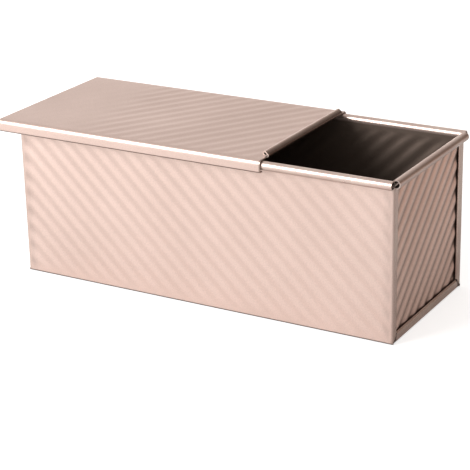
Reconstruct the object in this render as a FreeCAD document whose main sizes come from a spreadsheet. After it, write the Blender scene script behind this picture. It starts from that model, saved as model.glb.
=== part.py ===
"""Pullman loaf pan: a corrugated sheet pan with hemmed ends, rolled rims and a sliding lid.

Frame: origin on the resting plane under the middle of the pan, +X along the pan towards the
rolled end of the lid, -Y towards the front wall, +Z up. Millimetres.
"""
import FreeCAD, Part
import math
import os

doc = FreeCAD.newDocument("pullman_loaf_pan")

# Driving sizes in millimetres, angles in degrees
SIZES = {
    "sheet_thickness": 0.7,
    "pan_length": 282,
    "pan_width": 110,
    "pan_height": 110,
    "bend_radius": 1.6,
    "rim_diameter": 6,
    "rim_slot": 0.9,
    "rim_gap": 0.3,
    "rim_flare": 1.5,
    "lip_width": 6.5,
    "mitre_gap": 0.4,
    "seam_clearance": 0.06,
    "seam_slot": 1.0,
    "wire_clearance": 0.25,
    "wire_setback": 8,
    "ridge_pitch": 9.1,
    "end_ridge_pitch": 9.0,
    "ridge_height": 1.2,
    "floor_ridge_height": 0.6,
    "ridge_margin": 4,
    "wall_ridge_angle": 44,
    "end_ridge_angle": 41.5,
    "lid_length": 205,
    "lid_pull_position": 51,
    "lid_clearance": 0.5,
    "lid_bend_radius": 4,
    "lid_hook_radius": 1.2,
    "lid_hook_width": 2.6,
    "lid_ridge_pitch": 10.8,
    "lid_ridge_height": 0.6,
    "lid_ridge_angle": 57,
    "lid_plain_end": 55,
    "pull_diameter": 4.6,
    "pull_inset": 9,
    "pull_slot": 0.5,
}

sizes = doc.addObject("Spreadsheet::Sheet", "Sizes")
for row, (name, number) in enumerate(SIZES.items(), start=1):
    sizes.set(f"A{row}", name)
    sizes.set(f"B{row}", str(number))
    sizes.setAlias(f"B{row}", name)
doc.recompute()

# Planes and distances that several pieces share, as expressions over the sheet
THICK = "Sizes.sheet_thickness"
GAP = "Sizes.seam_clearance"
END = "(Sizes.pan_length / 2)"
WALL = "(Sizes.pan_width / 2)"
LIP = "Sizes.lip_width"
RIM_RADIUS = "(Sizes.rim_diameter / 2)"
RIM_LEVEL = f"(Sizes.pan_height - {RIM_RADIUS})"
RIM_LINE = f"({WALL} - {THICK} + {RIM_RADIUS})"
LIP_TOP = "(Sizes.pan_height - Sizes.rim_diameter - Sizes.rim_gap)"
PANEL_OUT = f"({END} - 3 * {THICK} - 2 * {GAP} - Sizes.seam_slot)"
PANEL_IN = f"({PANEL_OUT} - {THICK})"
PANEL_EDGE = f"({WALL} - {THICK} - {GAP})"
NECK_IN = f"({PANEL_IN} + Sizes.rim_flare)"
NECK_OUT = f"({NECK_IN} + {THICK})"
LEDGE = f"({LIP_TOP} + {GAP})"
END_RIM_LINE = f"({NECK_IN} + {RIM_RADIUS})"
WIRE_RADIUS = f"({RIM_RADIUS} - {THICK} - Sizes.wire_clearance)"

LID_UNDER = "(Sizes.pan_height + Sizes.lid_clearance)"
LID_TOP = f"({LID_UNDER} + {THICK})"
LID_HOOK = "(Sizes.pan_height - Sizes.rim_diameter - Sizes.lid_clearance)"
LID_BOTTOM = f"({LID_HOOK} - {THICK})"
LID_INSIDE = f"({RIM_LINE} + {RIM_RADIUS} + Sizes.lid_clearance)"
LID_SIDE = f"({LID_INSIDE} + {THICK})"
LID_RIGHT = "Sizes.lid_pull_position"
LID_LEFT = f"({LID_RIGHT} - Sizes.lid_length)"
PULL_RADIUS = "(Sizes.pull_diameter / 2)"
PULL_LEVEL = f"({LID_UNDER} + {PULL_RADIUS})"
PULL_END = f"({LID_SIDE} - Sizes.pull_inset)"

# How far a cutting block runs past the sheet that it cuts
PAST = "(2 * Sizes.sheet_thickness)"

# Directions
ALONG_X = FreeCAD.Rotation(FreeCAD.Vector(0, 1, 0), 90)
ALONG_Y = FreeCAD.Rotation(FreeCAD.Vector(1, 0, 0), -90)
FACING_FRONT = FreeCAD.Rotation(FreeCAD.Vector(1, 0, 0), 90)
FACING_RIGHT = FreeCAD.Rotation(FreeCAD.Vector(1, 1, 1), 120)
FACING_UP = FreeCAD.Rotation()
HALF_TURN = FreeCAD.Rotation(FreeCAD.Vector(0, 0, 1), 180)


def bind(feature, **expressions):
    """Tie properties of a feature to expressions; base_x, base_y and base_z place it."""
    for key, expression in expressions.items():
        path = f"Placement.Base.{key[-1]}" if key.startswith("base_") else key
        feature.setExpression(path, expression)
    return feature


def mirrored(span, side):
    """The same span on the other side of zero when side is -1."""
    low, high = span
    return span if side > 0 else (f"-({high})", f"-({low})")


def both_sides(reach):
    """A span from -reach to +reach."""
    return f"-({reach})", reach


def slab(name, x, y, z):
    """A block between two planes along each axis; each plane is an expression."""
    block = doc.addObject("Part::Box", name)
    return bind(
        block,
        Length=f"({x[1]}) - ({x[0]})", base_x=x[0],
        Width=f"({y[1]}) - ({y[0]})", base_y=y[0],
        Height=f"({z[1]}) - ({z[0]})", base_z=z[0],
    )


def rod(name, turn, radius, length, x, y, z):
    """A round bar that starts at a point and runs the way that turn sends +Z."""
    bar = doc.addObject("Part::Cylinder", name)
    bar.Placement = FreeCAD.Placement(FreeCAD.Vector(), turn)
    return bind(bar, Radius=radius, Height=length, base_x=x, base_y=y, base_z=z)


def cut(name, base, tool):
    """Base with the tool's space removed."""
    result = doc.addObject("Part::Cut", name)
    result.Base = base
    result.Tool = tool
    return result


def cut_all(name, base, tools):
    """Base with each tool removed in turn."""
    for number, tool in enumerate(tools, start=1):
        base = cut(f"{name}_{number}", base, tool)
    return base


def join(name, pieces):
    """Several shapes made one solid, with no seams left between flush faces."""
    result = doc.addObject("Part::MultiFuse", name)
    result.Shapes = pieces
    result.Refine = True
    return result


def overlap(name, pieces):
    """The space that all the shapes share."""
    result = doc.addObject("Part::MultiCommon", name)
    result.Shapes = pieces
    return result


def rounded(name, block, choose, radius):
    """A block with the edges that choose picks out rounded to one radius."""
    doc.recompute()
    result = doc.addObject("Part::Fillet", name)
    result.Base = block
    result.Edges = [
        (number, radius, radius)
        for number, edge in enumerate(block.Shape.Edges, start=1)
        if choose(edge, block.Shape.BoundBox)
    ]
    return result


def below_top(edge, box):
    """True for the bends of a folded tray: every edge that isn't at the open top."""
    return edge.BoundBox.ZMin < box.ZMax - box.ZLength / 2


def lengthwise(edge, box):
    """True for an edge that runs along X."""
    return edge.BoundBox.XLength > box.XLength / 2


def lengthwise_low(edge, box):
    """True for a lower edge that runs along X."""
    return lengthwise(edge, box) and edge.CenterOfMass.z < box.Center.z


def lengthwise_high(edge, box):
    """True for an upper edge that runs along X."""
    return lengthwise(edge, box) and edge.CenterOfMass.z > box.Center.z


def ridged_sheet(name, reach, pitch, rise, dip, angle, centre, turn):
    """A square of ridged sheet: half waves that bend up by rise and down by dip in turn.

    With no dip, flat lands lie between the ridges. The sheet lies across its own +Z, its
    ridges turned by angle from its own +X.
    """
    half_waves = 2 * math.ceil(reach / pitch)
    half_pitch = pitch / 2
    thickness = sizes.sheet_thickness

    def at(across, level):
        return FreeCAD.Vector(-reach, across, level)

    def wave(level):
        edges = []
        for count in range(-half_waves, half_waves + 1):
            middle = count * half_pitch
            start = at(middle - half_pitch / 2, level)
            finish = at(middle + half_pitch / 2, level)
            bend = rise if count % 2 else -dip
            if bend:
                edges.append(Part.Arc(start, at(middle, level + bend), finish).toShape())
            else:
                edges.append(Part.makeLine(start, finish))
        return edges

    edge = (half_waves + 0.5) * half_pitch
    sides = [
        Part.makeLine(at(across, -thickness / 2), at(across, thickness / 2))
        for across in (-edge, edge)
    ]
    outline = wave(-thickness / 2) + wave(thickness / 2) + sides
    section = Part.Face(Part.Wire(Part.__sortEdges__(outline)))
    ridge_turn = FreeCAD.Rotation(FreeCAD.Vector(0, 0, 1), angle)

    feature = doc.addObject("Part::Feature", name)
    feature.Shape = section.extrude(FreeCAD.Vector(2 * reach, 0, 0))
    feature.Placement = FreeCAD.Placement(centre, turn.multiply(ridge_turn))
    return feature


def ring(name, turn, radius, length, x, y, z):
    """A tube of sheet round a line: the full turn of a rolled edge."""
    outside = rod(f"{name}_outside", turn, radius, length, x, y, z)
    bore = rod(f"{name}_bore", turn, f"{radius} - {THICK}", length, x, y, z)
    return cut(name, outside, bore)


# The pan body: one sheet folded to a tray with open ends
tray_block = slab("tray_block", both_sides(END), both_sides(WALL), ("0", RIM_LEVEL))
tray_outside = rounded("tray_outside", tray_block, below_top, sizes.bend_radius)
tray_space_block = slab(
    "tray_space_block",
    both_sides(f"{END} - {THICK}"),
    both_sides(f"{WALL} - {THICK}"),
    (THICK, f"{RIM_LEVEL} + {PAST}"),
)
tray_space = rounded(
    "tray_space", tray_space_block, below_top, sizes.bend_radius - sizes.sheet_thickness
)
end_window = slab(
    "end_window",
    both_sides(f"{END} + {PAST}"),
    both_sides(f"{WALL} - {LIP}"),
    (LIP, f"{RIM_LEVEL} + {PAST}"),
)
rim_notch = slab(
    "rim_notch",
    both_sides(f"{END} + {PAST}"),
    both_sides(f"{WALL} - {THICK}"),
    (LIP_TOP, f"{RIM_LEVEL} + {PAST}"),
)

# The slanted joints between the bottom lip and the side lips at each end
mitres = []
for end_name, end_side in (("left", -1), ("right", 1)):
    for wall_name, wall_side in (("front", -1), ("back", 1)):
        mitre = doc.addObject("Part::Box", f"{end_name}_{wall_name}_mitre")
        slant = FreeCAD.Rotation(FreeCAD.Vector(1, 0, 0), 45 * wall_side)
        mitre.Placement = FreeCAD.Placement(FreeCAD.Vector(), slant)
        low, high = mirrored((f"{END} - {THICK}", f"{END} + {PAST}"), end_side)
        bind(
            mitre,
            Length=f"({high}) - ({low})", base_x=low,
            Width="Sizes.mitre_gap", base_y=f"{wall_side} * {WALL}",
            Height=f"2 * {LIP}", base_z="0",
        )
        mitres.append(mitre)

# Windows in the flat sheet where its ridges are pressed
margin = "Sizes.ridge_margin"
field_length = f"{END} - {margin}"
field_low = f"{THICK} + {margin}"
field_high = f"{LIP_TOP} - {margin}"
front_field = slab(
    "front_field",
    both_sides(field_length),
    (f"-{WALL} - {PAST}", f"-{WALL} + {THICK} + {PAST}"),
    (field_low, field_high),
)
back_field = slab(
    "back_field",
    both_sides(field_length),
    (f"{WALL} - {THICK} - {PAST}", f"{WALL} + {PAST}"),
    (field_low, field_high),
)
floor_field = slab(
    "floor_field",
    both_sides(field_length),
    both_sides(f"{WALL} - {THICK} - {margin}"),
    (f"-{PAST}", f"{THICK} + {PAST}"),
)
tray = cut_all(
    "tray",
    tray_outside,
    [tray_space, end_window, rim_notch, *mitres, front_field, back_field, floor_field],
)

wall_middle = (sizes.pan_width - sizes.sheet_thickness) / 2
lip_top = sizes.pan_height - sizes.rim_diameter - sizes.rim_gap
field_centre = (sizes.sheet_thickness + lip_top) / 2
wall_reach = (sizes.pan_length + sizes.pan_height) / 2
half_height = sizes.ridge_height / 2
front_ridges = ridged_sheet(
    "front_ridges", wall_reach, sizes.ridge_pitch, half_height, half_height,
    -sizes.wall_ridge_angle, FreeCAD.Vector(0, -wall_middle, field_centre), FACING_FRONT,
)
back_ridges = ridged_sheet(
    "back_ridges", wall_reach, sizes.ridge_pitch, half_height, half_height,
    -sizes.wall_ridge_angle, FreeCAD.Vector(0, wall_middle, field_centre),
    HALF_TURN.multiply(FACING_FRONT),
)
floor_ridges = ridged_sheet(
    "floor_ridges", (sizes.pan_length + sizes.pan_width) / 2, sizes.ridge_pitch,
    sizes.floor_ridge_height, 0, sizes.wall_ridge_angle,
    FreeCAD.Vector(0, 0, sizes.sheet_thickness / 2), FACING_UP,
)
pressed = [
    overlap("front_pressing", [front_ridges, front_field]),
    overlap("back_pressing", [back_ridges, back_field]),
    overlap("floor_pressing", [floor_ridges, floor_field]),
]

# The long rims: each top edge rolled outwards, its free edge tucked under
long_rims = []
for wall_name, side in (("front", -1), ("back", 1)):
    line = f"{side} * {RIM_LINE}"
    roll = ring(
        f"{wall_name}_roll", ALONG_X, RIM_RADIUS, "Sizes.pan_length", f"-{END}", line, RIM_LEVEL
    )
    tuck = slab(
        f"{wall_name}_tuck",
        both_sides(f"{END} + {PAST}"),
        mirrored((f"{WALL} - {THICK} - {PAST}", f"{WALL} + Sizes.rim_slot"), side),
        (f"{RIM_LEVEL} - Sizes.rim_diameter", RIM_LEVEL),
    )
    long_rims.append(cut(f"{wall_name}_rim", roll, tuck))

# The hems: each end lip folded back behind the hooked edge of the end panel
hem_out = f"{END} - {THICK}"
hem_in = f"{END} - 3 * {THICK} - 2 * {GAP}"
hems = []
for end_name, side in (("left", -1), ("right", 1)):
    fold = slab(
        f"{end_name}_fold",
        mirrored((hem_in, hem_out), side),
        both_sides(f"{WALL} - {LIP} + {THICK}"),
        (f"{LIP} - {THICK}", LIP_TOP),
    )
    hem_edge = f"(2 * {THICK} + 2 * {GAP})"
    flap = slab(
        f"{end_name}_flap",
        mirrored((hem_in, f"{hem_in} + {THICK}"), side),
        both_sides(f"{WALL} - {hem_edge}"),
        (hem_edge, LIP_TOP),
    )
    hems.append(cut(f"{end_name}_hem", join(f"{end_name}_hem_block", [fold, flap]), end_window))

pan_body = join("pan_body", [tray, *pressed, *long_rims, *hems])


def end_panel(end_name, side, turn):
    """One end sheet: ridged plate, edge hooked into the hem on three sides, top edge rolled out."""
    plate_block = slab(
        f"{end_name}_plate_block",
        mirrored((PANEL_IN, f"{END} - {THICK} - {GAP}"), side),
        both_sides(PANEL_EDGE),
        (f"{THICK} + {GAP}", f"{LEDGE} + {THICK}"),
    )
    corner = sizes.bend_radius - sizes.sheet_thickness - sizes.seam_clearance
    plate = rounded(f"{end_name}_plate", plate_block, below_top, corner)
    hollow = slab(
        f"{end_name}_hollow",
        mirrored((PANEL_OUT, f"{END} - 2 * {THICK} - {GAP}"), side),
        both_sides(f"{PANEL_EDGE} - {THICK}"),
        (f"2 * {THICK} + {GAP}", f"{RIM_LEVEL} + {PAST}"),
    )
    hook_window = slab(
        f"{end_name}_hook_window",
        mirrored((PANEL_OUT, f"{END} + {PAST}"), side),
        both_sides(f"{WALL} - {LIP} + {THICK} + {GAP}"),
        (f"{LIP} - {THICK} - {GAP}", f"{RIM_LEVEL} + {PAST}"),
    )
    hook_top = slab(
        f"{end_name}_hook_top",
        mirrored((PANEL_OUT, f"{END} + {PAST}"), side),
        both_sides(f"{PANEL_EDGE} + {PAST}"),
        (LIP_TOP, f"{RIM_LEVEL} + {PAST}"),
    )
    field_reach = f"{WALL} - {LIP} - {margin} / 2"
    field = slab(
        f"{end_name}_field",
        mirrored((f"{PANEL_IN} - {PAST}", f"{PANEL_OUT} + {PAST}"), side),
        both_sides(field_reach),
        (f"{LIP} + {margin} / 2", field_high),
    )
    tray_end = cut_all(f"{end_name}_end", plate, [hollow, hook_window, hook_top, field])

    middle = sizes.pan_length / 2 - 3.5 * sizes.sheet_thickness
    middle = middle - 2 * sizes.seam_clearance - sizes.seam_slot
    ridges = ridged_sheet(
        f"{end_name}_ridges", (sizes.pan_width + sizes.pan_height) / 2, sizes.end_ridge_pitch,
        half_height, half_height, sizes.end_ridge_angle,
        FreeCAD.Vector(side * middle, 0, field_centre), turn,
    )
    pressing = overlap(f"{end_name}_pressing", [ridges, field])

    ledge = slab(
        f"{end_name}_ledge",
        mirrored((PANEL_IN, NECK_OUT), side),
        both_sides(PANEL_EDGE),
        (LEDGE, f"{LEDGE} + {THICK}"),
    )
    neck = slab(
        f"{end_name}_neck",
        mirrored((NECK_IN, NECK_OUT), side),
        both_sides(PANEL_EDGE),
        (LEDGE, RIM_LEVEL),
    )
    roll = ring(
        f"{end_name}_roll", ALONG_Y, RIM_RADIUS, f"2 * {PANEL_EDGE}",
        f"{side} * {END_RIM_LINE}", f"-{PANEL_EDGE}", RIM_LEVEL,
    )
    tuck = slab(
        f"{end_name}_tuck",
        mirrored((f"{NECK_IN} - {PAST}", f"{NECK_OUT} + Sizes.rim_slot"), side),
        both_sides(f"{PANEL_EDGE} + {PAST}"),
        (f"{RIM_LEVEL} - Sizes.rim_diameter", RIM_LEVEL),
    )
    rim = cut(f"{end_name}_rim", roll, tuck)
    return join(f"{end_name}_end_panel", [tray_end, pressing, ledge, neck, rim])


right_end_panel = end_panel("right", 1, FACING_RIGHT)
left_end_panel = end_panel("left", -1, HALF_TURN.multiply(FACING_RIGHT))

# Stiffening wires inside the rims, ending short of the corners
wires = []
long_wire = "Sizes.pan_length - 2 * Sizes.wire_setback"
short_wire = f"2 * ({PANEL_EDGE} - Sizes.wire_setback)"
for name, side in (("front_rim_wire", -1), ("back_rim_wire", 1)):
    wires.append(rod(
        name, ALONG_X, WIRE_RADIUS, long_wire,
        f"-{END} + Sizes.wire_setback", f"{side} * {RIM_LINE}", RIM_LEVEL,
    ))
for name, side in (("left_rim_wire", -1), ("right_rim_wire", 1)):
    wires.append(rod(
        name, ALONG_Y, WIRE_RADIUS, short_wire,
        f"{side} * {END_RIM_LINE}", f"-{PANEL_EDGE} + Sizes.wire_setback", RIM_LEVEL,
    ))

# The lid: a plate with a channel down each long side that hooks under the rims
lid_block = slab("lid_block", (LID_LEFT, LID_RIGHT), both_sides(LID_SIDE), (LID_BOTTOM, LID_TOP))
lid_soft = rounded("lid_soft", lid_block, lengthwise_high, sizes.lid_bend_radius)
lid_outside = rounded("lid_outside", lid_soft, lengthwise_low, sizes.lid_hook_radius)
lid_past = (f"{LID_LEFT} - {PAST}", f"{LID_RIGHT} + {PAST}")
lid_space_block = slab("lid_space_block", lid_past, both_sides(LID_INSIDE), (LID_HOOK, LID_UNDER))
lid_space_soft = rounded(
    "lid_space_soft", lid_space_block, lengthwise_high,
    sizes.lid_bend_radius - sizes.sheet_thickness,
)
lid_space = rounded(
    "lid_space", lid_space_soft, lengthwise_low, sizes.lid_hook_radius - sizes.sheet_thickness
)
lid_mouth = slab(
    "lid_mouth",
    lid_past,
    both_sides(f"{LID_INSIDE} - Sizes.lid_hook_width"),
    (f"{LID_BOTTOM} - {PAST}", f"{LID_HOOK} + {PAST}"),
)
lid_field = slab(
    "lid_field",
    (f"{LID_LEFT} + Sizes.lid_plain_end", f"{LID_RIGHT} - {margin}"),
    both_sides(f"{LID_SIDE} - Sizes.lid_bend_radius - {margin}"),
    (f"{LID_UNDER} - {PAST}", f"{LID_TOP} + {PAST}"),
)
lid_channel = cut_all("lid_channel", lid_outside, [lid_space, lid_mouth, lid_field])

lid_centre = FreeCAD.Vector(
    sizes.lid_pull_position - sizes.lid_length / 2,
    0,
    sizes.pan_height + sizes.lid_clearance + sizes.sheet_thickness / 2,
)
lid_ridges = ridged_sheet(
    "lid_ridges", (sizes.lid_length + sizes.pan_width) / 2, sizes.lid_ridge_pitch,
    sizes.lid_ridge_height, 0, sizes.lid_ridge_angle, lid_centre, FACING_UP,
)
lid_pressing = overlap("lid_pressing", [lid_ridges, lid_field])

# The pull: the lid's end rolled upwards between the channels
pull_roll = ring(
    "pull_roll", ALONG_Y, PULL_RADIUS, f"2 * {PULL_END}", LID_RIGHT, f"-{PULL_END}", PULL_LEVEL
)
pull_tuck = slab(
    "pull_tuck",
    (f"{LID_RIGHT} - Sizes.pull_diameter", LID_RIGHT),
    both_sides(LID_SIDE),
    (f"{LID_UNDER} - {PAST}", f"{LID_TOP} + Sizes.pull_slot"),
)
pull = cut("pull", pull_roll, pull_tuck)
lid = join("lid", [lid_channel, lid_pressing, pull])

doc.recompute()
sub_parts = [pan_body, left_end_panel, right_end_panel, *wires, lid]
for feature in doc.Objects:
    if "Invalid" in feature.State or "Error" in feature.State:
        raise RuntimeError(f"{feature.Name} failed: {feature.State}")
for feature in sub_parts:
    shape = feature.Shape
    if shape.isNull() or not shape.isValid() or len(shape.Solids) != 1:
        raise RuntimeError(f"{feature.Label} is not one valid solid")

os.makedirs("parts", exist_ok=True)
for feature in sub_parts:
    feature.Shape.exportStep(f"parts/{feature.Label}.step")
    print(f"{feature.Label}: {feature.Shape.Volume / 1000:.1f} cm3, {len(feature.Shape.Faces)} faces")
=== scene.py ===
# %% [markdown]
# # A pullman loaf pan
# The pan is folded from thin coated steel: one long sheet is both long walls and the floor, two end panels
# are hooked into its hemmed ends, and a lid slides along the rolled rims. The CAD frame holds every size
# and joint. Here the sheets get their soft pressed ridges, their rolled and hemmed edges and their finish,
# in the same frame. The CAD box is kept from the start, so that the last cell can print it beside the
# dressed pan's box.

import math

import bmesh
import bpy
import numpy as np
from mathutils import Matrix, Vector


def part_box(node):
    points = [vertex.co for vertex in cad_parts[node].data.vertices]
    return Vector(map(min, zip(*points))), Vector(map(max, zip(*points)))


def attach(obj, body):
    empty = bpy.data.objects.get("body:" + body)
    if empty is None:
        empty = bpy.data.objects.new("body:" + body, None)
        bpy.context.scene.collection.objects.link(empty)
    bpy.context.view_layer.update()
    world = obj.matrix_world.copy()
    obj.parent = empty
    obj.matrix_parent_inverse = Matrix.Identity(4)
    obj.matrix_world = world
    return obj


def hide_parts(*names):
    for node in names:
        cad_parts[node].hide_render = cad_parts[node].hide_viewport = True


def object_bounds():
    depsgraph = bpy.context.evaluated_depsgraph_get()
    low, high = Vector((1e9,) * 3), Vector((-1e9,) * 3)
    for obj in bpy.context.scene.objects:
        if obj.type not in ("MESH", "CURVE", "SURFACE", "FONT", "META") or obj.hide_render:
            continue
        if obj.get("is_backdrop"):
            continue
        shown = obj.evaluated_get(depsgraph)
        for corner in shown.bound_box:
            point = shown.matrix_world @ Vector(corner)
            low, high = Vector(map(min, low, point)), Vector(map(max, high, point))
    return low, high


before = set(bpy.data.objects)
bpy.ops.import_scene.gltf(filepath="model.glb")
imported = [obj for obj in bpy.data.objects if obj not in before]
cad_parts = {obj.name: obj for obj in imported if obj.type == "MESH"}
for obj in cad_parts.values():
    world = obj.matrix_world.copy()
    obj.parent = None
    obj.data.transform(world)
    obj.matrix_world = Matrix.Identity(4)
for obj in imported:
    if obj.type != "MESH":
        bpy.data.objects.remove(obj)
cad_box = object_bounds()
MM = 0.001  # the surfaces are worked out in millimetres and scaled once, on the way into a mesh
print("nodes:", sorted(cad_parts))

# %% [markdown]
# ## Sizes read from the frame
# The outer sizes come from the boxes of the CAD nodes, so a new pack resizes the surfaces too. Only what a
# box can't tell is written down: the sheet's thickness, the rim's radius, and the gaps and radii of the
# folds.

# %% Sizes of the folded sheets, in millimetres
SHEET = 0.7
SKIN = SHEET / 2  # the surfaces lie in the middle of the sheet, half a thickness under its outer face
CLEAR = 0.06  # left between the layers of a seam
BEND = 1.25  # radius of a plain fold at the middle of the sheet
RIM_RADIUS = 3.0
RIM_TURN = RIM_RADIUS - SKIN  # radius of the rolled edge at the middle of its sheet
RIM_GAP = 0.3  # between the long rims and the lips under them
TINY = 1e-6  # margin in comparisons

END, pan_side, TOP = np.array(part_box("pan_body")[1]) / MM
RIM_LINE = pan_side - RIM_RADIUS  # the centre line of a long rolled rim
RIM_LEVEL = TOP - RIM_RADIUS
RIM_FOOT = TOP - 2 * RIM_RADIUS
WALL = RIM_LINE - RIM_TURN  # the middle of a long wall's sheet
LIP_TOP = RIM_FOOT - RIM_GAP  # the end lips stop just under the rims
print(f"walls at y = ±{WALL:.2f}, ends at x = ±{END:.1f}, rims at z = {RIM_LEVEL:.1f}")

# %% [markdown]
# ## A fold is a line with a direction
# Any folded sheet is a profile carried along a path. A profile is a row of points, each with the direction
# that is square to the sheet there, so that ridges and lips know which way to grow. Straight runs and arcs
# are enough: that is how a folding machine makes the real one. A run leaves out its last point, because the
# next run starts with it, so runs and arcs can be strung together.

# %% Runs, arcs and mirrored profiles


def run(first, last, step, to_end=False):
    """Points (1 - t) first + t last, about step apart, each with the direction a quarter turn to the left
    of the run. The last point comes only with to_end. Returns rows of (a, b, direction a, direction b)."""
    first, last = np.array(first, float), np.array(last, float)
    span = last - first
    count = max(1, round(np.linalg.norm(span) / step))
    left = np.array([-span[1], span[0]]) / np.linalg.norm(span)
    points = first + span * (np.arange(count + to_end) / count)[:, None]
    return np.hstack([points, np.broadcast_to(left, points.shape)])


def runs(corners, step):
    """The runs from each corner to the next, strung together."""
    return np.concatenate([run(first, last, step) for first, last in zip(corners, corners[1:])])


def arc(centre, radius, first, last, count, to_end=False):
    """Points centre + radius (cos a, sin a) at angles a from first towards last degrees, in count steps.
    The direction is again to the left of the way: towards the centre on a left turn, away from it on a
    right turn."""
    angle = np.radians(first + (last - first) * np.arange(count + to_end) / count)
    spoke = np.stack([np.cos(angle), np.sin(angle)], axis=-1)
    return np.hstack([np.array(centre) + radius * spoke, -np.sign(last - first) * spoke])


def both_sides(half):
    """A half profile that starts on the axis of symmetry, with its mirror image put before it."""
    return np.concatenate([half[:0:-1] * [-1, 1, -1, 1], half])


def part_of(parts, order):
    """For points numbered along the parts in a row, the number of the part that each of them lies in."""
    return np.searchsorted(np.cumsum([len(part) for part in parts]), order, side="right")


FOLD_COUNT = 6  # steps round a plain fold
print("a plain fold:", arc((0, BEND), BEND, -90, 0, FOLD_COUNT)[:, :2].round(2).tolist())

# %% [markdown]
# ## The sheet's finish
# The pan has a satin champagne non-stick coat with a fine metallic fleck and a slow change of tone. Folds
# are paler and smoother, where hands and oven shelves rub them. Painted shade darkens the creases, slots and
# the undersides of the rims, and painted shade darkens the inner side of every sheet: inside the pan, in the
# rolled edges and under the lid. Bare steel shows as a thin line where the sheet was cut. An image of such a
# coat would blur close up, so it is made from noise. One shared node group puts out that grain, and each
# material asks it for its own scale.

# %% Node helpers and the grain group


def join(tree, node, inputs):
    """Fills a node's sockets: inputs maps a socket to a value or to another node's output."""
    for key, value in inputs.items():
        if isinstance(value, bpy.types.NodeSocket):
            tree.links.new(value, node.inputs[key])
        else:
            node.inputs[key].default_value = value


def add(tree, kind, inputs=None, **settings):
    """A new node with its settings and with its sockets filled."""
    node = tree.nodes.new(kind)
    for key, value in settings.items():
        setattr(node, key, value)
    join(tree, node, inputs or {})
    return node


GRAIN_INPUTS = {"Scale": "NodeSocketFloat", "Detail": "NodeSocketFloat", "Stretch": "NodeSocketVector"}
grain_group = bpy.data.node_groups.new("grain", "ShaderNodeTree")
for socket, kind in GRAIN_INPUTS.items():
    grain_group.interface.new_socket(socket, in_out="INPUT", socket_type=kind)
grain_group.interface.new_socket("Grain", in_out="OUTPUT", socket_type="NodeSocketFloat")
asked = add(grain_group, "NodeGroupInput").outputs
spot = add(grain_group, "ShaderNodeTexCoord").outputs["Object"]
spot = add(grain_group, "ShaderNodeVectorMath", {0: spot, 1: asked["Stretch"]}, operation="MULTIPLY")
noise = add(grain_group, "ShaderNodeTexNoise", {
    "Vector": spot.outputs["Vector"],
    "Scale": asked["Scale"],
    "Detail": asked["Detail"],
})
add(grain_group, "NodeGroupOutput", {"Grain": noise.outputs["Fac"]})
print("shared group:", grain_group.name, list(GRAIN_INPUTS))

# %% Building blocks of a finish


def new_material(name):
    """A material with only its output and a Principled shader, which is returned with the tree."""
    material = bpy.data.materials.new(name)
    material.use_nodes = True
    tree = material.node_tree
    tree.nodes.clear()
    shader = add(tree, "ShaderNodeBsdfPrincipled")
    add(tree, "ShaderNodeOutputMaterial", {"Surface": shader.outputs["BSDF"]})
    return material, tree, shader


def grain(tree, scale, detail, stretch=(1, 1, 1)):
    """Noise from 0 to 1 on the object's own coordinates, each multiplied by its stretch."""
    inputs = {"Scale": scale, "Detail": detail, "Stretch": stretch}
    return add(tree, "ShaderNodeGroup", inputs, node_tree=grain_group).outputs["Grain"]


def mark(tree, name):
    """A value that the mesh carries at its points."""
    return add(tree, "ShaderNodeAttribute", attribute_name=name).outputs["Fac"]


def remap(tree, value, first=0.0, last=1.0, start=0.0, stop=1.0):
    """start + (stop - start) t, with t = (value - first) / (last - first) held between 0 and 1."""
    inputs = {"Value": value, "From Min": first, "From Max": last, "To Min": start, "To Max": stop}
    return add(tree, "ShaderNodeMapRange", inputs).outputs["Result"]


def ramp(tree, value, stops, blend="LINEAR"):
    """The colour at a value on a scale of stops, each with its position and colour."""
    node = add(tree, "ShaderNodeValToRGB", {"Fac": value})
    node.color_ramp.interpolation = blend
    elements = node.color_ramp.elements
    elements.remove(elements[1])
    elements[0].position, elements[0].color = stops[0]
    for position, colour in stops[1:]:
        elements.new(position).color = colour
    return node.outputs["Color"]


def mixed(tree, share, first, second):
    """The colour (1 - share) first + share second."""
    return add(tree, "ShaderNodeMix", {"Factor": share, 6: first, 7: second}, data_type="RGBA").outputs[2]


print("helpers:", [helper.__name__ for helper in (grain, mark, remap, ramp, mixed)])

# %% Coated sheet
COAT_DEEP, COAT_PALE = (0.60, 0.458, 0.405, 1), (0.66, 0.508, 0.452, 1)
COAT_WORN = (0.72, 0.60, 0.53, 1)
# colour of the painted shade in creases, slots, grooves and under the rims
SHADE_BROWN = (0.045, 0.020, 0.011, 1)
# painted shade on the inner side of the sheets: inside the pan, in the rolled edges and under the lid
INNER_SHADE_BROWN = (0.20, 0.150, 0.122, 1)
FOLD_ROUGHNESS = 0.25


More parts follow.
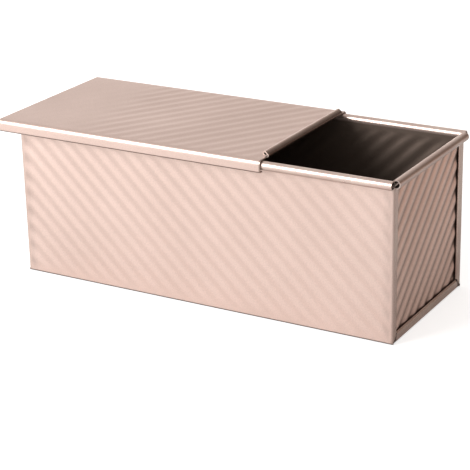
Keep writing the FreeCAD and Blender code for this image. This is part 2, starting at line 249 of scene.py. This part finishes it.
def coated_sheet():
    """Champagne coat: tone and fleck vary it a little, worn folds are paler and smoother, and painted shade
    darkens creases, slots and the inner sides.
    """
    material, tree, shader = new_material("champagne_coat")
    fold, painted_shade, inner_shade = (mark(tree, name) for name in ("fold", "painted_shade", "inner_shade"))
    tone = grain(tree, scale=14.0, detail=3.0)
    colour = ramp(tree, tone, [(0.3, COAT_DEEP), (0.7, COAT_PALE)])
    fleck = grain(tree, scale=1400.0, detail=2.0)
    fleck = remap(tree, fleck, first=0.3, last=0.7, start=0.93, stop=1.07)
    flecked = add(tree, "ShaderNodeVectorMath", {0: colour, "Scale": fleck}, operation="SCALE")
    patches = grain(tree, scale=60.0, detail=6.0)
    rubbed = add(tree, "ShaderNodeMath", {0: patches, 1: fold}, operation="MULTIPLY")
    worn = remap(tree, rubbed.outputs["Value"], first=0.36, last=0.66)
    colour = mixed(tree, worn, flecked.outputs["Vector"], COAT_WORN)
    # painted shade from the marks, then painted shade on the sheets' inner sides
    colour = mixed(tree, painted_shade, colour, SHADE_BROWN)
    colour = mixed(tree, inner_shade, colour, INNER_SHADE_BROWN)
    satin = remap(tree, tone, start=0.46, stop=0.36)
    rough = add(tree, "ShaderNodeMix", {"Factor": fold, "A": satin, "B": FOLD_ROUGHNESS}, data_type="FLOAT")
    peel = grain(tree, scale=420.0, detail=1.0)
    bump = add(tree, "ShaderNodeBump", {"Height": peel, "Strength": 0.25, "Distance": 0.04 * MM})
    join(tree, shader, {
        "Base Color": colour,
        "Roughness": rough.outputs["Result"],
        "Metallic": 0.75,
        "Normal": bump.outputs["Normal"],
    })
    return material


COAT = coated_sheet()
print("coat:", COAT.name, "with", len(COAT.node_tree.nodes), "nodes")

# %% Bare steel at the cut edges


def bare_steel(name, colours, roughness, metallic, lines):
    """Steel without a coat: the grain of its lines moves colour and roughness between two values each."""
    material, tree, shader = new_material(name)
    streaks = grain(tree, **lines)
    join(tree, shader, {
        "Base Color": ramp(tree, streaks, list(zip((0, 1), colours))),
        "Roughness": remap(tree, streaks, start=roughness[0], stop=roughness[1]),
        "Metallic": metallic,
    })
    return material


EDGE_BROWNS = (0.46, 0.37, 0.33, 1), (0.66, 0.56, 0.51, 1)
EDGE = bare_steel("cut_edge", EDGE_BROWNS, (0.35, 0.6), 0.9, {"scale": 900.0, "detail": 3.0})
print("edge:", EDGE.name)

# %% [markdown]
# ## From a grid of points to sheet metal
# A surface without thickness would shine through at its cut ends, so each grid becomes a mesh, points that
# fold onto each other are merged, and Solidify adds half the thickness to either side. It is applied
# straight away, because the painted shade of each side's inner face, and the sharp edges that keep the cut
# faces crisp, are set on the thick sheet.

# %% Mesh at the middle of a sheet
MERGE = 0.002 * MM  # points closer than this are one point


def sheet_mesh(name, points, keep, marks):
    """A mesh at the middle of the sheet, of the kept quads of the grid, with each mark as an attribute."""
    rows, columns = points.shape[:2]
    first = np.arange(rows - 1)[:, None] * columns + np.arange(columns - 1)
    quads = np.stack([first, first + 1, first + columns + 1, first + columns], axis=-1)[keep]
    used, corners = np.unique(quads, return_inverse=True)
    mesh = bpy.data.meshes.new(name)
    mesh.from_pydata((points.reshape(-1, 3)[used] * MM).tolist(), [], corners.reshape(quads.shape).tolist())
    for mark_name, values in marks.items():
        values = np.broadcast_to(values, (rows, columns)).reshape(-1)[used]
        mesh.attributes.new(mark_name, "FLOAT", "POINT").data.foreach_set("value", values.astype(np.float32))
    shell = bmesh.new()
    shell.from_mesh(mesh)
    bmesh.ops.remove_doubles(shell, verts=shell.verts, dist=MERGE)
    bmesh.ops.dissolve_degenerate(shell, edges=shell.edges, dist=MERGE)
    shell.to_mesh(mesh)
    shell.free()
    return mesh


print(f"points within {MERGE / MM:.3f} mm become one")

# %% Sheet maker
CRISP = math.radians(50)  # folds sharper than this are shaded as edges
scene = bpy.context.scene


def put(name, data):
    """A new object in the scene, at the origin, that shows the data."""
    thing = bpy.data.objects.new(name, data)
    scene.collection.objects.link(thing)
    return thing


def shade_inner_sides(solid):
    """Solidify lists the points of one side first and those of the other side after them. The side that
    faces into the pan keeps its mark of painted inner shade, and the other side gets 1 minus that mark: a
    rolled edge has the painted shade on its inside."""
    inner_shade = np.empty(len(solid.vertices), np.float32)
    solid.attributes["inner_shade"].data.foreach_get("value", inner_shade)
    outer = slice(0, len(inner_shade) // 2)
    inner_shade[outer] = 1 - inner_shade[outer]
    solid.attributes["inner_shade"].data.foreach_set("value", inner_shade)


def sheet_metal(name, points, keep, marks, body, node):
    """Makes the piece that stands for a CAD node. points is a grid of rows and columns of (x, y, z) in
    millimetres, at the middle of the sheet, and keep says which of its quads are sheet. marks holds a grid
    from 0 to 1 for each of fold (wear), the painted shade of creases and slots, and the painted shade of the
    sheet's inner side."""
    mesh = sheet_mesh(name, points, keep, marks)
    mesh.materials.append(COAT)
    mesh.materials.append(EDGE)
    piece = put(name, mesh)
    thick = piece.modifiers.new("sheet", "SOLIDIFY")
    thick.thickness = SHEET * MM
    thick.offset = 0
    thick.material_offset_rim = 1
    solid = bpy.data.meshes.new_from_object(piece.evaluated_get(bpy.context.evaluated_depsgraph_get()))
    piece.modifiers.clear()
    piece.data = solid
    bpy.data.meshes.remove(mesh)
    solid.name = name
    shade_inner_sides(solid)
    solid.polygons.foreach_set("use_smooth", np.ones(len(solid.polygons), bool))
    solid.set_sharp_from_angle(angle=CRISP)
    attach(piece, body)
    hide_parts(node)
    triangles = len(solid.loops) - 2 * len(solid.polygons)
    print(f"{name}: {points.shape[0]} x {points.shape[1]} grid, {triangles} triangles")


print(f"sheets are {SHEET} mm thick")

# %% [markdown]
# ## The body: walls, floor, rims, lips and hems in one sheet
# The real body is one blank. Its profile runs from the front rim's roll down the front wall, over the floor
# and up to the back rim's roll, and it is carried along the pan. At both ends the same sheet turns in as a
# lip and folds back on itself as a hem, which holds the end panel. So the grid has a profile in each
# direction: the second one is measured inwards, along the direction that the first one gives at every
# point. Values that belong to the first profile are kept as a column and those of the second as a row, so
# together they fill the grid.

# %% Profile across the pan
STEP = 1.7  # grid step on the ridged walls
FLOOR_STEP = 2.4
ROLL_COUNT = 18  # steps round a rolled edge
ROLL_END = -128  # degrees at which a rolled edge stops, close to the wall
LIP_WIDTH = 6.5
TURN = 1.1  # radius of the fold between a wall and its lip
MITRE_GAP = 0.3  # how far a lip stays from the 45 degree line on which two lips meet
LIP_NOTCH = TURN + MITRE_GAP  # the lips start this far from the lower corners
HEM_NOTCH = LIP_WIDTH  # and their hems this far

floor_stops = (0, WALL - HEM_NOTCH, WALL - LIP_NOTCH, WALL - BEND)
wall_stops = (SKIN + BEND, SKIN + LIP_NOTCH, SKIN + HEM_NOTCH, LIP_TOP, RIM_FOOT, RIM_LEVEL)
across_parts = (
    runs([(stop, SKIN) for stop in floor_stops], FLOOR_STEP),
    arc((WALL - BEND, SKIN + BEND), BEND, -90, 0, FOLD_COUNT),
    runs([(WALL, stop) for stop in wall_stops], STEP),
    arc((RIM_LINE, RIM_LEVEL), RIM_TURN, 180, ROLL_END, ROLL_COUNT, to_end=True),
)
across = both_sides(np.concatenate(across_parts))
y, z, inward_y, inward_z = (values[:, None] for values in across.T)
row = np.abs(np.arange(len(across)) - len(across) // 2)[:, None]  # steps from the middle of the floor
is_floor, is_corner, is_wall, is_roll = (part_of(across_parts, row) == part for part in range(4))
print(len(across), "points across the pan,", is_roll.sum(), "of them in the rims")

# %% Profile along the pan
LIP_STEP = 0.9
LIP_FACE = END - SKIN
HEM_COUNT = 8  # steps round the fold from a lip to its hem
HEM_TURN = SHEET + CLEAR  # half the distance between a lip and its hem, with the panel's edge between them
HEM_LINE = LIP_FACE - 2 * HEM_TURN
HEM_ROOT = LIP_WIDTH - SHEET - HEM_TURN  # where the lip starts to fold back
HEM_END = 2.0

along_parts = (
    run((0, 0), (LIP_FACE - TURN, 0), STEP),
    arc((LIP_FACE - TURN, TURN), TURN, -90, 0, FOLD_COUNT),
    run((LIP_FACE, TURN), (LIP_FACE, HEM_ROOT), LIP_STEP),
    arc((LIP_FACE - HEM_TURN, HEM_ROOT), HEM_TURN, 0, 180, HEM_COUNT),
    run((HEM_LINE, HEM_ROOT), (HEM_LINE, HEM_END), STEP, to_end=True),
)
along = both_sides(np.concatenate(along_parts))[::-1]  # from right to left, so that faces point outwards
x, depth = along[:, 0], along[:, 1]
column = np.abs(np.arange(len(along)) - len(along) // 2)  # steps from the middle of the pan
in_turn, in_lip, in_hem = (part_of(along_parts, column) >= part for part in (1, 2, 3))
print(len(along), "points along the pan,", in_lip.sum(), "of them in the lips and hems")

# %% Lips mitred at the lower corners
from_corner = np.where(is_wall, z - SKIN, WALL - np.abs(y))
has_lip = ~is_roll & (z < LIP_TOP + TINY) & (from_corner > LIP_NOTCH - TINY)
has_hem = has_lip & (from_corner > HEM_NOTCH - TINY)
fold_depth = np.minimum(depth, np.where(has_lip, from_corner - MITRE_GAP, 0))

turn_start = len(along_parts[0])
turned = np.clip((column - turn_start) / FOLD_COUNT, 0, 1)
straight_x = np.where(in_turn, np.sign(x) * (END - (TURN + SKIN) * (1 - turned)), x)  # where no lip turns in
grid_x = np.where(has_lip, x, straight_x)

lipped, hemmed = (has[:-1] & has[1:] for has in (has_lip, has_hem))
quad_turn, quad_lip, quad_hem = (part[:-1] & part[1:] for part in (in_turn, in_lip, in_hem))
seam_row = has_lip[:-1] ^ has_lip[1:]
body_keep = np.where(quad_lip, lipped, ~(seam_row & quad_turn)) & (hemmed | ~quad_hem)
print(has_lip.sum(), "rows with a lip,", has_hem.sum(), "with a hem")

# %% [markdown]
# ## Pressed ridges
# Slanted ridges stiffen the walls and the floor. They were pressed into the blank before it was folded, so
# they are soft waves that fade out ahead of every fold. A bump in the material would look flat at the edges
# of the pan, so the grid itself is moved: a cosine gives the wave, and smooth steps give the fading.

# %% Waves that fade out


def fade(distance, start, over):
    """Smooth step 3 t² - 2 t³ with t = (distance - start) / over held between 0 and 1."""
    t = np.clip((distance - start) / over, 0, 1)
    return t * t * (3 - 2 * t)


def ridges(sideways, upwards, pitch, tilt):
    """Height of slanted ridges, from -1 to 1: the cosine of the distance across them, with one turn per
    pitch. That distance is sideways sin tilt + upwards cos tilt."""
    return np.cos(2 * np.pi * (sideways * math.sin(tilt) + upwards * math.cos(tilt)) / pitch)


RIDGE_PITCH = 9.1
RIDGE_TILT = math.radians(44)
RIDGE_LEVEL = 52.2  # height at which a ridge crosses the middle of a wall
WALL_RISE = 0.33  # half the height of a ridge on the walls
FLOOR_RISE = 0.6  # the whole height of one on the floor, where all of it goes up

wall_wave = ridges(-np.sign(y) * grid_x, z - RIDGE_LEVEL, RIDGE_PITCH, RIDGE_TILT)
floor_wave = ridges(-grid_x, y, RIDGE_PITCH, RIDGE_TILT)
ends = fade(END - np.abs(grid_x), start=2.5, over=2.2)
wall_field = is_wall * ends * fade(z, start=2.5, over=6) * fade(RIM_LEVEL - z, start=4, over=4)
floor_field = is_floor * ends * fade(WALL - np.abs(y), start=4, over=5)
pressed = WALL_RISE * wall_field * wall_wave + FLOOR_RISE * floor_field * (0.5 - 0.5 * floor_wave)
print(f"ridges from {pressed.min():.2f} to {pressed.max():.2f} mm inwards")

# %% [markdown]
# ## Marks for wear and painted shade
# On the real pan the rims, lips and folds are rubbed paler. Creases, slots, grooves and the undersides of
# the rims get painted shade. This could be painted on the mesh by hand, but the profiles already know which
# point lies in which fold. So every point gets a value from 0 to 1 for its wear, its painted shade and the
# painted shade of its inner side, and the coat reads them.

# %% Marks on the body
ROLL_WEAR, LIP_WEAR, TURN_WEAR, CORNER_WEAR = 0.85, 0.9, 0.7, 0.6
SLOT_SHADE, LIP_SHADE, TURN_SHADE = 0.95, 0.18, 0.35  # painted shade inside a hem, on a lip and on its fold
ROLL_SHADE = 0.42  # painted shade under the rims
RUN_OUT_SHADE = 0.22  # painted shade where the grooves run out at the ends
FOOT_BAND = 3.0  # painted shade on the floor this far in from the lower folds

end_wear = np.where(in_lip, LIP_WEAR, TURN_WEAR * in_turn) * has_lip
body_fold = np.maximum(ROLL_WEAR * is_roll + CORNER_WEAR * is_corner, end_wear)

# painted shade on the lower folds and on the floor beside them
foot = is_corner * fade(SKIN + BEND - z, start=0, over=0.625 * BEND)
foot = np.maximum(foot, is_floor & (np.abs(y) > WALL - BEND - FOOT_BAND))
under = ROLL_SHADE * is_roll * fade(RIM_LEVEL - z, start=0.6, over=1.6)
in_slot = column > sum(len(part) for part in along_parts[:3]) + HEM_COUNT // 2
# painted shade on the lip's fold, on the lip and in the slot of its hem
end_line = TURN_SHADE * fade(column, start=turn_start - 1, over=FOLD_COUNT)
end_line = np.select([in_slot, in_lip], [SLOT_SHADE, LIP_SHADE], end_line) * has_lip
# painted shade in the grooves near both ends of the walls
run_out = fade(np.abs(grid_x), start=END - 9, over=5) * (0.5 + 0.5 * wall_wave)
run_out = RUN_OUT_SHADE * run_out * is_wall * ~in_turn
body_shade = np.maximum(np.maximum(foot + under, end_line), run_out)
print(f"worn to {body_fold.max():.2f}, dark to {body_shade.max():.2f}")

# %% Body sheet
reach = fold_depth + pressed
body_points = np.stack([grid_x, y + inward_y * reach, z + inward_z * reach], axis=-1)
body_marks = {"fold": body_fold, "painted_shade": body_shade, "inner_shade": ~is_roll}
sheet_metal("body_sheet", body_points, body_keep, body_marks, "pan", "pan_body")

# %% [markdown]
# ## The end panels
# Each end panel is a shallow tray turned outwards: its sides and foot bend out to hook into the hems, and
# its top steps out and rolls over as the end rim. The plate is a grid whose outer columns and foot rows
# wrap round the bend. The second panel is the first one turned half round, as on the real pan, where both
# come from one die.

# %% Profiles of an end panel
panel_end, panel_side = np.array(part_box("right_end_panel")[1][:2]) / MM
END_RIM_LINE = panel_end - RIM_RADIUS
NECK = END_RIM_LINE - RIM_TURN  # the sheet under the end rim
PLATE = NECK - 0.65  # the ridged plate, set back from it and clear of the hems
PLATE_STEP = 1.3
PANEL_SIDE = panel_side - SKIN
PANEL_FOOT = SHEET + CLEAR + SKIN
FLANGE_END = LIP_FACE - 0.9  # the bent edges stop short of the lips
FLANGE_STEP = 0.8
STEP_FOOT, STEP_HEAD = LIP_TOP + 0.2, LIP_TOP + 1.2  # levels of the slanted step between plate and neck
SLANT_STEP = 0.4

sides = both_sides(np.concatenate([
    run((0, PLATE), (PANEL_SIDE - BEND, PLATE), PLATE_STEP),
    arc((PANEL_SIDE - BEND, PLATE + BEND), BEND, -90, 0, FOLD_COUNT),
    run((PANEL_SIDE, PLATE + BEND), (PANEL_SIDE, FLANGE_END), FLANGE_STEP, to_end=True),
]))
upright_parts = (
    run((FLANGE_END, PANEL_FOOT), (PLATE + BEND, PANEL_FOOT), FLANGE_STEP),
    arc((PLATE + BEND, PANEL_FOOT + BEND), BEND, 270, 180, FOLD_COUNT),
    run((PLATE, PANEL_FOOT + BEND), (PLATE, STEP_FOOT), PLATE_STEP),
    run((PLATE, STEP_FOOT), (NECK, STEP_HEAD), SLANT_STEP),
    run((NECK, STEP_HEAD), (NECK, RIM_LEVEL), FLANGE_STEP),
    arc((END_RIM_LINE, RIM_LEVEL), RIM_TURN, 180, ROLL_END, ROLL_COUNT, to_end=True),
)
upright = np.concatenate(upright_parts)
print(len(upright), "points up the panel,", len(sides), "across it")

# %% Ridged plate with bent edges
END_PITCH = 9.0
END_RISE = 0.55
END_TILT = math.radians(41.5)
TOP_SIDE = PANEL_SIDE + 0.2  # over the lips the panel is wider, almost up to the walls

side_y, side_x = sides[:, 0], sides[:, 1]
up_x, up_z = upright[:, :1], upright[:, 1:2]
up_order = np.arange(len(upright))[:, None]
is_top = up_order > sum(len(part) for part in upright_parts[:3])
panel_y = side_y * np.where(is_top, TOP_SIDE / PANEL_SIDE, 1)
panel_z = np.broadcast_to(up_z, panel_y.shape)
from_edge = np.minimum(WALL + SKIN - np.abs(panel_y), panel_z)
end_wave = ridges(-panel_y, panel_z - RIDGE_LEVEL, END_PITCH, END_TILT)
end_field = fade(from_edge, start=LIP_WIDTH - 0.8, over=1.6) * ~is_top
end_field = end_field * fade(LIP_TOP - panel_z, start=0.4, over=3)
panel_x = np.where(is_top, up_x, np.maximum(up_x, side_x)) - END_RISE * end_field * end_wave
panel_points = np.stack([panel_x, panel_y, panel_z], axis=-1)
print(f"end plates at x = ±{PLATE:.2f}, their ridges {2 * END_RISE:.1f} mm high")

# %% Notches in the panel's bent edges
PANEL_NOTCH = 2 * BEND  # the bent edges stop this far from the lower corners

is_flange = side_x > PLATE + BEND + TINY
panel_keep = ~((is_top[:-1] | is_top[1:]) & (is_flange[:-1] | is_flange[1:]))
from_side = PANEL_SIDE - np.maximum(np.abs(side_y[:-1]), np.abs(side_y[1:]))
from_foot = np.minimum(up_z[:-1], up_z[1:]) - PANEL_FOOT
is_bent = np.minimum(from_side, from_foot) < BEND - TINY
panel_keep &= ~(is_bent & (np.maximum(from_side, from_foot) < PANEL_NOTCH))
print(panel_keep.size - panel_keep.sum(), "quads cut away")

# %% End panels
GROOVE_SHADE = 0.44  # painted shade in the grooves, darkest at their bottoms
GROOVE_POWER = 1.6  # over 1 makes the dark lines narrower
# painted shade on the end rims
END_ROLL_SHADE = 0.2
TOP_WEAR = 0.8

is_end_roll = part_of(upright_parts, up_order) == len(upright_parts) - 1
beside_lip = (1 - fade(from_edge, start=LIP_WIDTH, over=0.9)) * ~is_top  # painted shade in the narrow slot beside the lips
groove = end_field * (0.5 + 0.5 * end_wave) ** GROOVE_POWER
panel_shade = np.maximum(SLOT_SHADE * beside_lip, GROOVE_SHADE * groove) + END_ROLL_SHADE * is_end_roll
panel_marks = {"fold": TOP_WEAR * is_top, "painted_shade": panel_shade, "inner_shade": ~is_end_roll}
sheet_metal("right_end_sheet", panel_points, panel_keep, panel_marks, "pan", "right_end_panel")
sheet_metal("left_end_sheet", panel_points * [-1, -1, 1], panel_keep, panel_marks, "pan", "left_end_panel")

# %% [markdown]
# ## The lid
# The lid is a shallow channel: a ridged plate with rounded shoulders, sides that hang over the rims, and
# narrow hooks under them. Its profile is carried along the pan. At the pull end the plate runs on into a
# flattened roll, which stops short of the shoulders, so there the grid keeps only the rows in between.

# %% Profile across the lid
lid_low, lid_high = (np.array(corner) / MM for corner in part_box("lid"))
LID_GAP = 0.5  # between the rims and the plate
LID_PLATE = TOP + LID_GAP + SKIN
LID_SIDE = lid_high[1] - SKIN
LID_FOOT = lid_low[2] + SKIN
LID_STEP = 1.2
SIDE_STEP = 0.8
SHOULDER = 2.8
SHOULDER_COUNT = 9
HOOK_TURN = 0.85
HOOK_STEP = 0.9
HOOK_END = LID_SIDE - SKIN - 2.6
PULL_SIDE = LID_SIDE - 9.0  # the pull stops short of the shoulders

lid_across = both_sides(np.concatenate([
    runs([(stop, LID_PLATE) for stop in (0, PULL_SIDE, LID_SIDE - SHOULDER)], LID_STEP),
    arc((LID_SIDE - SHOULDER, LID_PLATE - SHOULDER), SHOULDER, 90, 0, SHOULDER_COUNT),
    run((LID_SIDE, LID_PLATE - SHOULDER), (LID_SIDE, LID_FOOT + HOOK_TURN), SIDE_STEP),
    arc((LID_SIDE - HOOK_TURN, LID_FOOT + HOOK_TURN), HOOK_TURN, 0, -90, FOLD_COUNT),
    run((LID_SIDE - HOOK_TURN, LID_FOOT), (HOOK_END, LID_FOOT), HOOK_STEP, to_end=True),
]))
lid_y, lid_z, out_y, out_z = (values[:, None] for values in lid_across.T)
is_pull_row = np.abs(lid_y) < PULL_SIDE + TINY
print(len(lid_across), "points across the lid,", is_pull_row.sum(), "of them as wide as the pull")

# %% Profile along the lid, with the pull
LID_START, LID_END = lid_low[0], lid_high[0] - 2.3  # the plate's ends; the pull's fold comes after it
PULL_TILT = 139  # degrees from +X to the flat of the pull, which leans back over the lid
PULL_TURN = 1.15  # radius of the fold from the plate to the pull
PULL_BACK = 1.0  # radius of the fold over the pull's top
PULL_FLAT, PULL_HEM = 2.0, 1.2  # lengths of the flat and of the hem behind it
PULL_STEP = 0.5
TURN_COUNT, BACK_COUNT = 10, 12  # steps round the two folds

lean = np.array([math.cos(math.radians(PULL_TILT)), math.sin(math.radians(PULL_TILT))])
aside = np.array([-lean[1], lean[0]])
pull_centre = np.array([LID_END, LID_PLATE + PULL_TURN])
flat_start = pull_centre - aside * PULL_TURN
flat_end = flat_start + lean * PULL_FLAT
back_centre = flat_end + aside * PULL_BACK
back_start = back_centre + aside * PULL_BACK
plain = run((LID_START, LID_PLATE), (LID_END, LID_PLATE), LID_STEP)
lid_along = np.concatenate([
    plain,
    arc(pull_centre, PULL_TURN, -90, PULL_TILT - 90, TURN_COUNT),
    run(flat_start, flat_end, PULL_STEP),
    arc(back_centre, PULL_BACK, PULL_TILT - 90, PULL_TILT + 90, BACK_COUNT),
    run(back_start, back_start - lean * PULL_HEM, PULL_STEP, to_end=True),
])
lid_x, lift = lid_along[:, 0], lid_along[:, 1] - LID_PLATE
past_plate = np.arange(len(lid_along)) - len(plain)  # steps along the pull
in_pull = past_plate >= 0
print(len(lid_along), "points along the lid,", in_pull.sum(), "of them in the pull")

# %% Ridged plate of the lid
LID_PITCH = 10.8
LID_RISE = 0.165  # half the height of a ridge
LID_TILT = math.radians(57)
PLAIN_RISE = 0.12  # share of the ridges that is left at the plain end
SLANT = 0.12  # the ridges start along a slightly slanted line

lid_wave = ridges(-lid_x, lid_y, LID_PITCH, LID_TILT)
begun = fade(lid_x - LID_START + SLANT * lid_y, start=50, over=26)
on_plate = (lid_z > LID_PLATE - SHOULDER) & ~in_pull
inside = fade(LID_END - lid_x, start=2, over=6) * fade(LID_SIDE - np.abs(lid_y), start=2.2, over=3)
lid_field = on_plate * inside * (PLAIN_RISE + (1 - PLAIN_RISE) * begun)
lid_ridge = LID_RISE * lid_field * (1 + lid_wave)
print(f"lid ridges up to {lid_ridge.max():.2f} mm")

# %% Lid sheet
PULL_WEAR, SIDE_WEAR = 0.9, 0.3
# painted shade on the pull's shaded side
PULL_SHADE = 0.72
SHADED_STEPS = 16  # the steps along the pull that get painted shade

lid_points = np.stack([
    np.broadcast_to(lid_x, lid_ridge.shape),
    lid_y + out_y * lid_ridge,
    lid_z + out_z * lid_ridge + lift * is_pull_row,
], axis=-1)
lid_keep = (past_plate[1:] <= 0) | (is_pull_row[:-1] & is_pull_row[1:])
# painted shade along the hooks under the lid's sides
hook = fade(LID_FOOT + HOOK_TURN - lid_z, start=0, over=HOOK_TURN / 1.5)
pull_shade = fade(past_plate, start=-1, over=4) * fade(SHADED_STEPS - past_plate, start=0, over=6)
lid_marks = {
    "fold": np.maximum(PULL_WEAR * in_pull, SIDE_WEAR * (lid_z < LID_PLATE - TINY)),
    "painted_shade": np.maximum(hook, PULL_SHADE * pull_shade * is_pull_row),
    "inner_shade": ~in_pull,
}
sheet_metal("lid_sheet", lid_points, lid_keep, lid_marks, "lid", "lid")

# %% [markdown]
# ## Drawn wire in the rims
# The rims are rolled round steel wire, which shows only at their open ends. The CAD nodes already have the
# right shape, so they stay and get the finish: dull steel with fine lines along the way it was drawn. The
# lines are the shared grain, stretched out along the wire.

# %% Wire finish
WIRE_GREYS = (0.14, 0.13, 0.12, 1), (0.30, 0.285, 0.27, 1)
DRAWN = 0.008  # the grain is this much slower along the wire than across it


def drawn_wire(axis, stretch):
    """Dull steel with lines along an axis."""
    lines = {"scale": 2500.0, "detail": 4.0, "stretch": stretch}
    return bare_steel(f"wire_drawn_along_{axis}", WIRE_GREYS, (0.22, 0.45), 1.0, lines)


WIRE_X = drawn_wire("x", (DRAWN, 1, 1))
WIRE_Y = drawn_wire("y", (1, DRAWN, 1))
for side, material in {"front": WIRE_X, "back": WIRE_X, "left": WIRE_Y, "right": WIRE_Y}.items():
    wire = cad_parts[f"{side}_rim_wire"].data
    wire.materials.clear()
    wire.materials.append(material)
print("wires:", WIRE_X.name, WIRE_Y.name)

# %% [markdown]
# ## Floor, light and camera
# A pale floor fills the whole view, and it glows a little towards the camera so that it stays white. The
# sky is brightest to the front left, as from a large window, and an area light there draws the white lines
# along the rolled edges. A dim warm strip at the right lights the end panel. The camera stands where the
# photograph was taken from.

# %% Floor
SPREAD = 6.0  # half the floor's width, in metres
DROP = 0.2 * MM  # it lies just under the pan
BOUNCE, WHITE = 0.78, 1.0  # the floor's brightness as the pan sees it and as the camera does
GLOW_SHARE = 0.35

floor_mesh = bpy.data.meshes.new("floor")
floor_corners = [(-SPREAD, -SPREAD), (SPREAD, -SPREAD), (SPREAD, SPREAD), (-SPREAD, SPREAD)]
floor_mesh.from_pydata([(*corner, -DROP) for corner in floor_corners], [], [(0, 1, 2, 3)])
floor_material, floor_tree, floor_shader = new_material("pale_floor")
seen = add(floor_tree, "ShaderNodeLightPath").outputs["Is Camera Ray"]
albedo = remap(floor_tree, seen, start=BOUNCE, stop=WHITE)
join(floor_tree, floor_shader, {"Base Color": albedo, "Roughness": 0.8})
share = add(floor_tree, "ShaderNodeMath", {0: seen, 1: GLOW_SHARE}, operation="MULTIPLY").outputs["Value"]
glow = add(floor_tree, "ShaderNodeEmission", {"Color": (1, 1, 1, 1), "Strength": 1.9}).outputs["Emission"]
paper = add(floor_tree, "ShaderNodeMixShader", {0: share, 1: floor_shader.outputs["BSDF"], 2: glow})
join(floor_tree, floor_tree.nodes["Material Output"], {"Surface": paper.outputs["Shader"]})
floor_mesh.materials.append(floor_material)
put("floor", floor_mesh)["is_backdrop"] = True
print(f"floor {2 * SPREAD:.0f} m wide")

# %% Sky
WINDOW = Vector((-0.78, -0.62, 0.0)).normalized()
SKY_TINTS = [
    (0.05, (0.11, 0.075, 0.055, 1)),
    (0.33, (0.675, 0.625, 0.59, 1)),
    (0.55, (0.745, 0.72, 0.70, 1)),
    (0.95, (0.90, 0.89, 0.88, 1)),
]
LOW_SKY, HIGH_SKY = 1.75, 0.8  # strength near the horizon and overhead

scene.view_settings.view_transform = "Standard"
scene.world = bpy.data.worlds.new("studio")
scene.world.use_nodes = True
sky = scene.world.node_tree
sky.nodes.clear()
toward = add(sky, "ShaderNodeTexCoord").outputs["Generated"]
facing = add(sky, "ShaderNodeVectorMath", {0: toward, 1: WINDOW}, operation="DOT_PRODUCT").outputs["Value"]
height = add(sky, "ShaderNodeSeparateXYZ", {0: toward}).outputs["Z"]
light = add(sky, "ShaderNodeBackground", {
    "Color": ramp(sky, remap(sky, facing, first=-1.0), SKY_TINTS, "EASE"),
    "Strength": remap(sky, height, first=0.05, last=0.8, start=LOW_SKY, stop=HIGH_SKY),
})
add(sky, "ShaderNodeOutputWorld", {"Surface": light.outputs["Background"]})
print("sky brightest towards", [round(value, 2) for value in WINDOW])

# %% Area lights


def soft_box(name, place, aim, size, power, colour=(1, 1, 1)):
    """A square area light at place, in metres, turned towards aim."""
    lamp = bpy.data.lights.new(name, "AREA")
    lamp.size = size
    lamp.energy = power
    lamp.color = colour
    box = put(name, lamp)
    box.location = place
    box.rotation_euler = (Vector(aim) - Vector(place)).to_track_quat("-Z", "Y").to_euler()


WARM = (1.0, 0.63, 0.45)
soft_box("front_window", (-0.75, -1.05, 0.8), aim=(0, 0, 0.05), size=0.8, power=20)
soft_box("right_strip", (1.4, 0.95, 0.3), aim=(0.14, 0, 0.06), size=0.5, power=1.8, colour=WARM)

# %% Camera
AZIMUTH, ELEVATION, ROLL = (math.radians(angle) for angle in (30.29, 20.9, -1.32))
CAMERA_PLACE = np.array([533.4, -919.9, 437.8]) * MM

level = math.cos(ELEVATION)
back = np.array([math.sin(AZIMUTH) * level, -math.cos(AZIMUTH) * level, math.sin(ELEVATION)])
level_right = np.cross([0, 0, 1], back)
level_right /= np.linalg.norm(level_right)
level_up = np.cross(back, level_right)
right = math.cos(ROLL) * level_right + math.sin(ROLL) * level_up
up = math.cos(ROLL) * level_up - math.sin(ROLL) * level_right
camera_data = bpy.data.cameras.new("camera")
camera_data.lens = 126.5
camera_data.sensor_width = 36.0
scene.camera = put("camera", camera_data)
turn = Matrix(np.stack([right, up, back], axis=1).tolist()).to_4x4()
scene.camera.matrix_world = Matrix.Translation(CAMERA_PLACE.tolist()) @ turn
print(f"camera {np.linalg.norm(CAMERA_PLACE):.2f} m from the pan, lens {camera_data.lens:.1f} mm")

# %% [markdown]
# The dressed pan has to stay in the CAD box. Both boxes are printed.

# %% Finish
visual_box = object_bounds()
for name, box in {"CAD": cad_box, "visual": visual_box}.items():
    print(name, "box in mm:", [[round(value / MM, 1) for value in corner] for corner in box])
